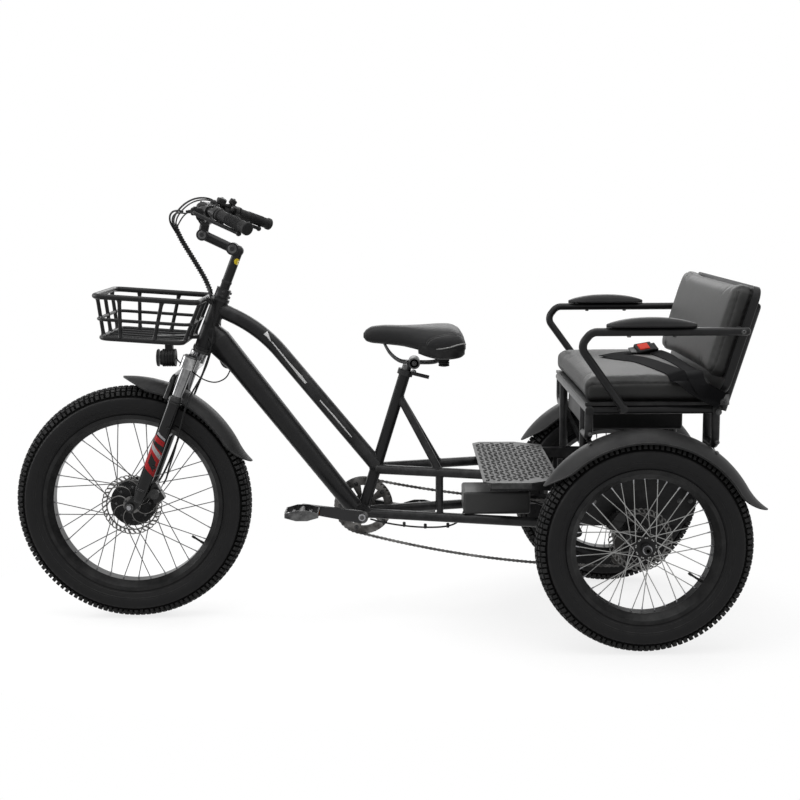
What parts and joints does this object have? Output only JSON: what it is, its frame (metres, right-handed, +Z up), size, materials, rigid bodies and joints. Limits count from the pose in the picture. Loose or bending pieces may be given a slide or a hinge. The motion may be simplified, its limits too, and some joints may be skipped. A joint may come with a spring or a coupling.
{
  "type": "electric passenger tricycle",
  "caption": "Fat-tyre pedal tricycle with a hub-motor front wheel, front basket, saddle and a cushioned two-seat bench between the rear wheels.",
  "frame": {"origin": "on the ground under the middle of the vehicle's bounding box", "axes": "+X to the rear, +Y to the rider's right, +Z up"},
  "size_m": [2.1353, 0.89, 1.2494],
  "materials": {
    "frame_black": "satin powder coat",
    "bearing_steel": "dark oiled steel",
    "tyre": "matte",
    "rim_black": "semi-gloss black",
    "disc_steel": "brushed",
    "fork_gloss": "gloss black",
    "fork_steel": "dark chrome",
    "fender_plastic": "fine matte grain",
    "vinyl": "soft grained vinyl",
    "belt_webbing": "tight ribbed webbing",
    "board_plastic": "matte",
    "pad_rubber": "matte",
    "footplate_texture": "coarse textured coat",
    "chain_steel": "dark oiled"
  },
  "bodies": {
    "chassis": {"head_tube": "frame_black", "down_tube": "frame_black", "top_tube": "frame_black", "seat_tube": "frame_black", "seat_struts": "frame_black", "upper_rails": "frame_black", "lower_rails": "frame_black", "rail_posts": "frame_black", "subframe_sides": "frame_black", "subframe_crossbars": "frame_black", "axle_bearings": "bearing_steel", "differential": "bearing_steel", "chain": "chain_steel", "footplate": "footplate_texture", "controller_box": "board_plastic", "seat_cross_tubes": "frame_black", "seat_legs": "frame_black", "seat_board": "board_plastic", "seat_cushion": "vinyl", "backrest_panel": "board_plastic", "backrest_uprights": "frame_black", "backrest_cushion": "vinyl", "armrests": "frame_black", "armrest_pads": "pad_rubber", "under_seat_box": "board_plastic", "lap_belt": "belt_webbing", "derailleur": "chain_steel", "rear_calipers": "frame_black", "rear_fender_left": "fender_plastic", "rear_fender_right": "fender_plastic", "fender_stays": "frame_black", "basket": "frame_black", "headlamp": "board_plastic", "saddle": "vinyl", "seat_post": "bearing_steel"},
    "steering": {"fork_crown": "fork_steel", "fork_legs": "fork_gloss", "front_fender": "fender_plastic", "front_caliper": "frame_black", "stem": "frame_black", "handlebar": "frame_black", "grips": "pad_rubber", "hand_controls": "frame_black", "control_cables": "pad_rubber"},
    "front_wheel": {"front_tyre": "tyre", "front_rim": "rim_black", "front_hub_motor": "rim_black", "front_disc": "disc_steel"},
    "rear_wheel_left": {"rear_tyre_left": "tyre", "rear_rim_left": "rim_black", "rear_axle_left": "disc_steel", "rear_disc_left": "disc_steel"},
    "rear_wheel_right": {"rear_tyre_right": "tyre", "rear_rim_right": "rim_black", "rear_axle_right": "disc_steel", "rear_disc_right": "disc_steel"},
    "crank": {"crank_arms": "chain_steel", "chainring": "chain_steel"},
    "pedal_left": {"pedal_left": "chain_steel"},
    "pedal_right": {"pedal_right": "chain_steel"}
  },
  "joints": [
    {"name": "steering", "type": "hinge", "parent": "chassis", "child": "steering", "pos_m": [-0.69177, 0, 0.337], "axis": [0.3665, 0, 0.9304], "range_deg": [-40, 40]},
    {"name": "front_wheel_spin", "type": "hinge", "parent": "steering", "child": "front_wheel", "pos_m": [-0.71969, 0, 0.348], "axis": [0, 1, 0], "continuous": true},
    {"name": "rear_wheel_left_spin", "type": "hinge", "parent": "chassis", "child": "rear_wheel_left", "pos_m": [0.73231, -0.36, 0.298], "axis": [0, 1, 0], "continuous": true},
    {"name": "rear_wheel_right_spin", "type": "hinge", "parent": "chassis", "child": "rear_wheel_right", "pos_m": [0.73231, 0.36, 0.298], "axis": [0, 1, 0], "continuous": true},
    {"name": "crank_spin", "type": "hinge", "parent": "chassis", "child": "crank", "pos_m": [-0.04219, 0, 0.317], "axis": [0, 1, 0], "continuous": true},
    {"name": "pedal_left_spin", "type": "hinge", "parent": "crank", "child": "pedal_left", "pos_m": [-0.21207, -0.093, 0.34391], "axis": [0, 1, 0], "continuous": true},
    {"name": "pedal_right_spin", "type": "hinge", "parent": "crank", "child": "pedal_right", "pos_m": [0.1277, 0.093, 0.29009], "axis": [0, 1, 0], "continuous": true}
  ]
}
